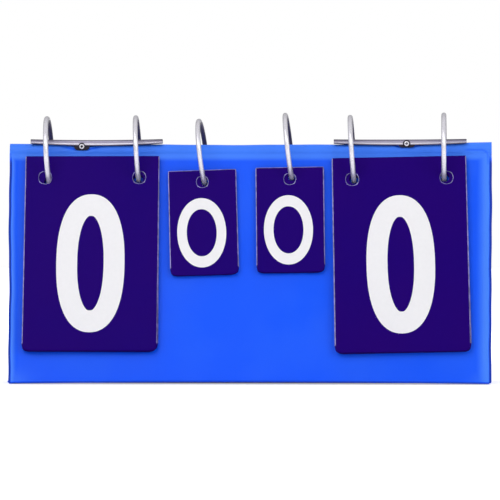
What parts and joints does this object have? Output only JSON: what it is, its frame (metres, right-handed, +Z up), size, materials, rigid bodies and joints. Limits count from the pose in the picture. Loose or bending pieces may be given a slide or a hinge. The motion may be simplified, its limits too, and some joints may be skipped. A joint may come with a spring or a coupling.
{
  "type": "flip scoreboard",
  "caption": "Tabletop flip scoreboard: a folding vinyl-covered tent with large and small number cards that turn over metal rings on its ridge.",
  "frame": {"origin": "middle of the base, on the table", "axes": "+X along the ridge, -Y out of the front face, +Z up"},
  "size_m": [0.385, 0.1124, 0.2143],
  "materials": {
    "vinyl": "soft glossy PVC sheet, welded",
    "greyboard": "plain grey board",
    "hook_and_loop": "woven nylon band",
    "plate_steel": "plated pressed steel",
    "nickel_plate": "satin nickel plate",
    "laminated_card": "printed card in clear film"
  },
  "bodies": {
    "front_cover": {"front_board": "greyboard", "front_cover_vinyl": "vinyl", "ridge_fold": "vinyl", "ridge_plate_left": "plate_steel", "ridge_plate_right": "plate_steel", "plate_rivets": "nickel_plate", "ring_pins": "nickel_plate", "hook_band": "hook_and_loop", "ring_front_half_1": "nickel_plate", "ring_front_half_2": "nickel_plate", "ring_front_half_3": "nickel_plate", "ring_front_half_4": "nickel_plate", "ring_front_half_5": "nickel_plate", "ring_front_half_6": "nickel_plate"},
    "back_cover": {"back_board": "greyboard", "back_cover_vinyl": "vinyl"},
    "base_flap": {"base_board": "greyboard", "base_cover_vinyl": "vinyl", "loop_band": "hook_and_loop"},
    "ring_1_back": {"ring_back_half_1": "nickel_plate"},
    "ring_2_back": {"ring_back_half_2": "nickel_plate"},
    "ring_3_back": {"ring_back_half_3": "nickel_plate"},
    "ring_4_back": {"ring_back_half_4": "nickel_plate"},
    "ring_5_back": {"ring_back_half_5": "nickel_plate"},
    "ring_6_back": {"ring_back_half_6": "nickel_plate"},
    "left_points_7": {"left_points_7": "laminated_card"},
    "left_points_6": {"left_points_6": "laminated_card"},
    "left_points_5": {"left_points_5": "laminated_card"},
    "left_points_4": {"left_points_4": "laminated_card"},
    "left_points_3": {"left_points_3": "laminated_card"},
    "left_points_2": {"left_points_2": "laminated_card"},
    "left_points_1": {"left_points_1": "laminated_card"},
    "left_points_0": {"left_points_0": "laminated_card"},
    "left_games_5": {"left_games_5": "laminated_card"},
    "left_games_4": {"left_games_4": "laminated_card"},
    "left_games_3": {"left_games_3": "laminated_card"},
    "left_games_2": {"left_games_2": "laminated_card"},
    "left_games_1": {"left_games_1": "laminated_card"},
    "left_games_0": {"left_games_0": "laminated_card"},
    "right_games_5": {"right_games_5": "laminated_card"},
    "right_games_4": {"right_games_4": "laminated_card"},
    "right_games_3": {"right_games_3": "laminated_card"},
    "right_games_2": {"right_games_2": "laminated_card"},
    "right_games_1": {"right_games_1": "laminated_card"},
    "right_games_0": {"right_games_0": "laminated_card"},
    "right_points_7": {"right_points_7": "laminated_card"},
    "right_points_6": {"right_points_6": "laminated_card"},
    "right_points_5": {"right_points_5": "laminated_card"},
    "right_points_4": {"right_points_4": "laminated_card"},
    "right_points_3": {"right_points_3": "laminated_card"},
    "right_points_2": {"right_points_2": "laminated_card"},
    "right_points_1": {"right_points_1": "laminated_card"},
    "right_points_0": {"right_points_0": "laminated_card"}
  },
  "joints": [
    {"name": "cover_fold", "type": "hinge", "parent": "front_cover", "child": "back_cover", "pos_m": [0, 0, 0.18606], "axis": [-1, 0, 0], "range_deg": [0, 28]},
    {"name": "base_flap_swing", "type": "hinge", "parent": "back_cover", "child": "base_flap", "pos_m": [0, 0.05622, 0.00452], "axis": [1, 0, 0], "range_deg": [0, 106]},
    {"name": "ring_1_open", "type": "hinge", "parent": "front_cover", "child": "ring_1_back", "pos_m": [-0.1618, 0, 0.15626], "axis": [1, 0, 0], "range_deg": [-5, 0]},
    {"name": "ring_2_open", "type": "hinge", "parent": "front_cover", "child": "ring_2_back", "pos_m": [-0.0888, 0, 0.15626], "axis": [1, 0, 0], "range_deg": [-5, 0]},
    {"name": "ring_3_open", "type": "hinge", "parent": "front_cover", "child": "ring_3_back", "pos_m": [-0.0374, 0, 0.15626], "axis": [1, 0, 0], "range_deg": [-5, 0]},
    {"name": "ring_4_open", "type": "hinge", "parent": "front_cover", "child": "ring_4_back", "pos_m": [0.0324, 0, 0.15626], "axis": [1, 0, 0], "range_deg": [-5, 0]},
    {"name": "ring_5_open", "type": "hinge", "parent": "front_cover", "child": "ring_5_back", "pos_m": [0.0829, 0, 0.15626], "axis": [1, 0, 0], "range_deg": [-5, 0]},
    {"name": "ring_6_open", "type": "hinge", "parent": "front_cover", "child": "ring_6_back", "pos_m": [0.1559, 0, 0.15626], "axis": [1, 0, 0], "range_deg": [-5, 0]},
    {"name": "left_points_7_flip", "type": "hinge", "parent": "front_cover", "child": "left_points_7", "pos_m": [0, 0, 0.18426], "axis": [-1, 0, 0], "range_deg": [0, 240]},
    {"name": "left_points_6_flip", "type": "hinge", "parent": "left_points_7", "child": "left_points_6", "pos_m": [0, 0, 0.18426], "axis": [-1, 0, 0], "range_deg": [0, 240]},
    {"name": "left_points_5_flip", "type": "hinge", "parent": "left_points_6", "child": "left_points_5", "pos_m": [0, 0, 0.18426], "axis": [-1, 0, 0], "range_deg": [0, 240]},
    {"name": "left_points_4_flip", "type": "hinge", "parent": "left_points_5", "child": "left_points_4", "pos_m": [0, 0, 0.18426], "axis": [-1, 0, 0], "range_deg": [0, 240]},
    {"name": "left_points_3_flip", "type": "hinge", "parent": "left_points_4", "child": "left_points_3", "pos_m": [0, 0, 0.18426], "axis": [-1, 0, 0], "range_deg": [0, 240]},
    {"name": "left_points_2_flip", "type": "hinge", "parent": "left_points_3", "child": "left_points_2", "pos_m": [0, 0, 0.18426], "axis": [-1, 0, 0], "range_deg": [0, 240]},
    {"name": "left_points_1_flip", "type": "hinge", "parent": "left_points_2", "child": "left_points_1", "pos_m": [0, 0, 0.18426], "axis": [-1, 0, 0], "range_deg": [0, 240]},
    {"name": "left_points_0_flip", "type": "hinge", "parent": "left_points_1", "child": "left_points_0", "pos_m": [0, 0, 0.18426], "axis": [-1, 0, 0], "range_deg": [0, 240]},
    {"name": "left_games_5_flip", "type": "hinge", "parent": "front_cover", "child": "left_games_5", "pos_m": [0, 0, 0.18426], "axis": [-1, 0, 0], "range_deg": [0, 240]},
    {"name": "left_games_4_flip", "type": "hinge", "parent": "left_games_5", "child": "left_games_4", "pos_m": [0, 0, 0.18426], "axis": [-1, 0, 0], "range_deg": [0, 240]},
    {"name": "left_games_3_flip", "type": "hinge", "parent": "left_games_4", "child": "left_games_3", "pos_m": [0, 0, 0.18426], "axis": [-1, 0, 0], "range_deg": [0, 240]},
    {"name": "left_games_2_flip", "type": "hinge", "parent": "left_games_3", "child": "left_games_2", "pos_m": [0, 0, 0.18426], "axis": [-1, 0, 0], "range_deg": [0, 240]},
    {"name": "left_games_1_flip", "type": "hinge", "parent": "left_games_2", "child": "left_games_1", "pos_m": [0, 0, 0.18426], "axis": [-1, 0, 0], "range_deg": [0, 240]},
    {"name": "left_games_0_flip", "type": "hinge", "parent": "left_games_1", "child": "left_games_0", "pos_m": [0, 0, 0.18426], "axis": [-1, 0, 0], "range_deg": [0, 240]},
    {"name": "right_games_5_flip", "type": "hinge", "parent": "front_cover", "child": "right_games_5", "pos_m": [0, 0, 0.18426], "axis": [-1, 0, 0], "range_deg": [0, 240]},
    {"name": "right_games_4_flip", "type": "hinge", "parent": "right_games_5", "child": "right_games_4", "pos_m": [0, 0, 0.18426], "axis": [-1, 0, 0], "range_deg": [0, 240]},
    {"name": "right_games_3_flip", "type": "hinge", "parent": "right_games_4", "child": "right_games_3", "pos_m": [0, 0, 0.18426], "axis": [-1, 0, 0], "range_deg": [0, 240]},
    {"name": "right_games_2_flip", "type": "hinge", "parent": "right_games_3", "child": "right_games_2", "pos_m": [0, 0, 0.18426], "axis": [-1, 0, 0], "range_deg": [0, 240]},
    {"name": "right_games_1_flip", "type": "hinge", "parent": "right_games_2", "child": "right_games_1", "pos_m": [0, 0, 0.18426], "axis": [-1, 0, 0], "range_deg": [0, 240]},
    {"name": "right_games_0_flip", "type": "hinge", "parent": "right_games_1", "child": "right_games_0", "pos_m": [0, 0, 0.18426], "axis": [-1, 0, 0], "range_deg": [0, 240]},
    {"name": "right_points_7_flip", "type": "hinge", "parent": "front_cover", "child": "right_points_7", "pos_m": [0, 0, 0.18426], "axis": [-1, 0, 0], "range_deg": [0, 240]},
    {"name": "right_points_6_flip", "type": "hinge", "parent": "right_points_7", "child": "right_points_6", "pos_m": [0, 0, 0.18426], "axis": [-1, 0, 0], "range_deg": [0, 240]},
    {"name": "right_points_5_flip", "type": "hinge", "parent": "right_points_6", "child": "right_points_5", "pos_m": [0, 0, 0.18426], "axis": [-1, 0, 0], "range_deg": [0, 240]},
    {"name": "right_points_4_flip", "type": "hinge", "parent": "right_points_5", "child": "right_points_4", "pos_m": [0, 0, 0.18426], "axis": [-1, 0, 0], "range_deg": [0, 240]},
    {"name": "right_points_3_flip", "type": "hinge", "parent": "right_points_4", "child": "right_points_3", "pos_m": [0, 0, 0.18426], "axis": [-1, 0, 0], "range_deg": [0, 240]},
    {"name": "right_points_2_flip", "type": "hinge", "parent": "right_points_3", "child": "right_points_2", "pos_m": [0, 0, 0.18426], "axis": [-1, 0, 0], "range_deg": [0, 240]},
    {"name": "right_points_1_flip", "type": "hinge", "parent": "right_points_2", "child": "right_points_1", "pos_m": [0, 0, 0.18426], "axis": [-1, 0, 0], "range_deg": [0, 240]},
    {"name": "right_points_0_flip", "type": "hinge", "parent": "right_points_1", "child": "right_points_0", "pos_m": [0, 0, 0.18426], "axis": [-1, 0, 0], "range_deg": [0, 240]}
  ],
  "couplings": [
    {"joint": "base_flap_swing", "follows": "cover_fold", "ratio": 3.7857}
  ]
}
